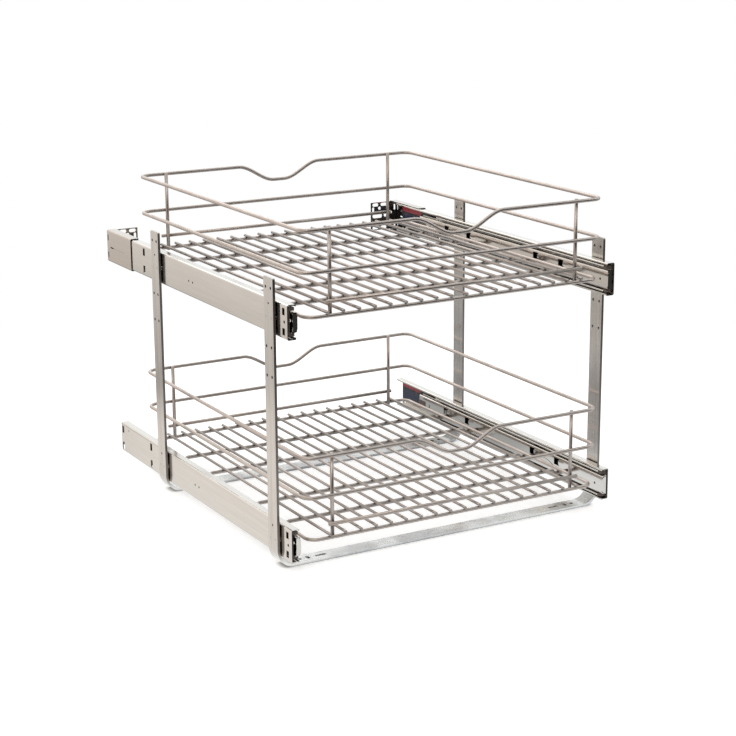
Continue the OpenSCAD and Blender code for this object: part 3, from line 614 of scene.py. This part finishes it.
def addBasket(level):
    z = levels[level]
    b = basket
    body = level + "_basket"
    rim = b["rim"]
    ends = (basketFront, basketBack)
    postIn = (rim + b["weld"]) * mm
    railHalf = b["railHalf"] * mm
    railZ = z + b["rail"] * mm
    floorZ = z + (b["base"] + (rim + b["floor"]) / 2 + b["weld"]) * mm
    floorFront = basketFront - rim / 2 * mm
    floorBack = b["floorBack"] * mm
    floorStep = 2 * b["floorHalf"] / (b["floorCount"] - 1)
    floorXs = [(i * floorStep - b["floorHalf"]) * mm for i in range(b["floorCount"])]
    lowest = z + (b["base"] - rim / 2) * mm
    highest = z + (b["top"] + rim / 2) * mm
    topRing = ringLine(b["rimHalf"], z + b["top"] * mm, scooped=True)
    middleRing = ringLine(b["rimHalf"], z + b["middle"] * mm)
    bottomRing = ringLine(b["baseHalf"], z + b["base"] * mm)
    rails = [[(-railHalf, y, railZ), (railHalf, y, railZ)] for y in ends]
    posts = [[(x * mm, y, lowest), (x * mm, y, highest)] for x in (-b["postX"], b["postX"])
             for y in (basketFront + postIn, basketBack - postIn)]
    floorLines = [[(x, floorFront, floorZ), (x, floorBack, floorZ)] for x in floorXs]
    crossLines = [crossLine(slideFront + y * mm, z) for y in b["crossAt"]]
    made = [
        ("TopWire", [topRing], rim, True, "top_wire", "nickel_wire"),
        ("MiddleWire", [middleRing], rim, True, "middle_wire", "nickel_wire"),
        ("BottomWire", [bottomRing], rim, True, "bottom_wire", "nickel_wire"),
        ("EndWires", rails, rim, False, "end_wires", "nickel_wire"),
        ("Posts", posts, rim, False, "posts", "nickel_wire"),
        ("FloorWires", floorLines, b["floor"], False, "floor_wires", "floor_wire"),
        ("CrossWires", crossLines, b["cross"], False, "cross_wires", "floor_wire"),
    ]
    for label, lines, diameter, closed, cad, finish in made:
        mesh = rodMesh(level + label, lines, diameter, closed)
        addPiece(level + label, mesh, body, f"{level}_basket_{cad}", finish)
    print(level, "basket wires made")


for level in levels:
    addBasket(level)


# ---------- camera, light and floor

# fitted to lines of the photo, in metres, degrees and pixels
photoView = {"place": (-1.24764, -2.17372, 0.85875), "yaw": -29.6238, "pitch": 14.9368,
             "roll": -0.3476, "focalPixels": 1840.85, "imageWidth": 736, "sensor": 36, "farEnd": 50}


def addCamera():
    yaw, pitch, roll = (math.radians(photoView[k]) for k in ("yaw", "pitch", "roll"))
    forward = Vector((-math.sin(yaw) * math.cos(pitch), math.cos(yaw) * math.cos(pitch),
                      -math.sin(pitch)))
    side = Vector((math.cos(yaw), math.sin(yaw), 0))
    up = side.cross(forward)
    right = side * math.cos(roll) + up * math.sin(roll)
    top = up * math.cos(roll) - side * math.sin(roll)
    data = bpy.data.cameras.new("photoCamera")
    data.sensor_width = photoView["sensor"]
    data.lens = photoView["sensor"] * photoView["focalPixels"] / photoView["imageWidth"]
    data.clip_end = photoView["farEnd"]
    camera = bpy.data.objects.new("photoCamera", data)
    bpy.context.scene.collection.objects.link(camera)
    turn = Matrix((right, top, -forward)).transposed().to_4x4()
    camera.matrix_world = Matrix.Translation(photoView["place"]) @ turn
    bpy.context.scene.camera = camera


softboxes = {
    "keySoftbox": {"place": (-1.6, -1.9, 2.4), "size": (1.6, 1.2), "power": 16},
    "fillSoftbox": {"place": (2.3, -1.2, 1.6), "size": (1.2, 1.6), "power": 6},
    "rearSoftbox": {"place": (0.4, 2.3, 2.0), "size": (2.0, 1.0), "power": 9},
}
softboxTarget = Vector((0, 0, 0.2))


def addSoftbox(name, place, size, power):
    data = bpy.data.lights.new(name, "AREA")
    data.shape = "RECTANGLE"
    data.size, data.size_y = size
    data.energy = power
    lamp = bpy.data.objects.new(name, data)
    bpy.context.scene.collection.objects.link(lamp)
    aim = (softboxTarget - Vector(place)).to_track_quat("-Z", "Y")
    lamp.matrix_world = Matrix.Translation(place) @ aim.to_matrix().to_4x4()


# light to the left and to the right, plain background, and the strength of unlit places
studio = {"warm": (1.0, 0.955, 0.90), "cool": (0.95, 0.985, 1.0), "white": (1, 1, 1), "dark": 0.04}

worldLook = {  # ranges of the direction that a ray goes in
    "level": 0.85, "rear": 1.15, "warmToCool": (-0.7, 0.7), "backdrop": (0.1, 0.6),
    "roomAhead": (-0.25, -0.6), "roomBelow": (0.75, 0.4),
}


def addWorld():
    look = worldLook
    world = bpy.data.worlds.new("paleStudio")
    bpy.context.scene.world = world
    world.use_nodes = True
    tree = world.node_tree
    tree.nodes.clear()
    heading = splitVector(tree, newNode(tree, "ShaderNodeTexCoord").outputs["Generated"])
    coolness = ramp(tree, heading["X"], *look["warmToCool"])
    sky = mixColour(tree, coolness, studio["warm"], studio["cool"])
    # the unlit room lies ahead of the object, below the softboxes, and the backdrop behind it
    room = multiply(tree, ramp(tree, heading["Y"], *look["roomAhead"]),
                    ramp(tree, heading["Z"], *look["roomBelow"]))
    backdrop = ramp(tree, heading["Y"], *look["backdrop"], look["level"], look["rear"])
    lit = multiply(tree, backdrop, mathNode(tree, "SUBTRACT", 1.0, room))
    strength = mathNode(tree, "MULTIPLY_ADD", room, studio["dark"], lit)
    light = newNode(tree, "ShaderNodeBackground", Color=sky, Strength=strength)
    white = newNode(tree, "ShaderNodeBackground", Color=studio["white"], Strength=1.0)
    seen = newNode(tree, "ShaderNodeLightPath").outputs["Is Camera Ray"]
    output = newNode(tree, "ShaderNodeOutputWorld")
    tree.links.new(mixShaders(tree, seen, light.outputs[0], white.outputs[0]), output.inputs[0])


floorLook = {
    "size": 12, "dark": (0.90, 0.90, 0.90), "light": (0.93, 0.93, 0.93), "cloudScale": 4.0,
    "rough": 0.8, "specular": 0.1, "glow": 0.42,
    "contactReach": 9 * mm, "contact": (0.30, 0.75, 0.08, 1.0),  # shade under the bars
    "white": (0.75, 1.3),  # distance in which the floor turns into plain background
}
mirrorLook = {  # what the metal shows of the floor, by the place on the floor in metres
    "shade": 0.50, "light": 0.97, "warm": (-0.12, -0.36), "slant": 0.25,
    "besideX": (-0.24, 0.02), "besideY": (-0.04, 0.12),
    "behindX": (-0.74, -0.48), "behindY": (0.45, 0.75),
    "far": (0.25, 0.9, 1.0, 0.92), "front": (-0.40, -0.85),
    "dip": 0.2, "dipRight": (-0.54, -0.68), "dipLeft": (-0.98, -0.80),
}


def mirroredFloor(tree, place):
    # pale floor, warmer to the left, with painted shade beside and behind the object, dark far
    # ahead of it
    look = mirrorLook
    spot = splitVector(tree, place)
    tint = mixColour(tree, ramp(tree, spot["X"], *look["warm"]), studio["cool"], studio["warm"])
    slanted = mathNode(tree, "MULTIPLY_ADD", spot["Y"], look["slant"], spot["X"])
    beside = multiply(tree, ramp(tree, slanted, *look["besideX"]),
                      ramp(tree, spot["Y"], *look["besideY"]))
    behind = multiply(tree, ramp(tree, spot["X"], *look["behindX"]),
                      ramp(tree, spot["Y"], *look["behindY"]))
    shade = mathNode(tree, "MAXIMUM", beside, behind)
    across = mathNode(tree, "MULTIPLY_ADD", shade, look["shade"] - look["light"], look["light"])
    across = multiply(tree, across, ramp(tree, spot["Y"], *look["far"]))
    fade = ramp(tree, spot["Y"], *look["front"], 1.0, studio["dark"])
    dip = multiply(tree, ramp(tree, spot["X"], *look["dipRight"]),
                   ramp(tree, spot["X"], *look["dipLeft"]))
    fade = multiply(tree, fade, mathNode(tree, "MULTIPLY_ADD", dip, -look["dip"], 1.0))
    return newNode(tree, "ShaderNodeEmission", Color=tint,
                   Strength=multiply(tree, across, fade)).outputs[0]


def floorFinish():
    look = floorLook
    material, tree, shader, place = startMaterial("paleFloor")
    surface = shader.outputs[0].links[0].to_socket
    cloud = noiseAt(tree, place, Scale=look["cloudScale"], Detail=2.0)
    rays = newNode(tree, "ShaderNodeLightPath").outputs
    seen = rays["Is Camera Ray"]
    close = newNode(tree, "ShaderNodeAmbientOcclusion", samples=6, Distance=look["contactReach"])
    unshaded = ramp(tree, close.outputs["AO"], *look["contact"])
    setInputs(tree, shader, Base_Color=mixColour(tree, cloud, look["dark"], look["light"]),
              Roughness=look["rough"], Specular_IOR_Level=look["specular"],
              Emission_Color=studio["white"],
              Emission_Strength=multiply(tree, multiply(tree, seen, look["glow"]), unshaded))
    inMetal = mixShaders(tree, rays["Is Glossy Ray"], shader.outputs[0],
                         mirroredFloor(tree, place))
    # plain white away from the object, so that the floor has no horizon
    distance = newNode(tree, "ShaderNodeVectorMath", operation="LENGTH")
    feed(tree, distance.inputs[0], place)
    away = ramp(tree, distance.outputs["Value"], *look["white"])
    white = newNode(tree, "ShaderNodeEmission", Color=studio["white"])
    tree.links.new(mixShaders(tree, multiply(tree, away, seen), inMetal, white.outputs[0]), surface)
    return material


def addFloor():
    work = bmesh.new()
    bmesh.ops.create_grid(work, x_segments=1, y_segments=1, size=floorLook["size"])
    mesh = bpy.data.meshes.new("paleFloor")
    work.to_mesh(mesh)
    work.free()
    mesh.materials.append(floorFinish())
    floor = bpy.data.objects.new("paleFloor", mesh)
    bpy.context.scene.collection.objects.link(floor)


addCamera()
addWorld()
addFloor()
for name, lamp in softboxes.items():
    addSoftbox(name, **lamp)
bpy.context.scene.view_settings.view_transform = "Standard"
print("camera, light and floor ready")
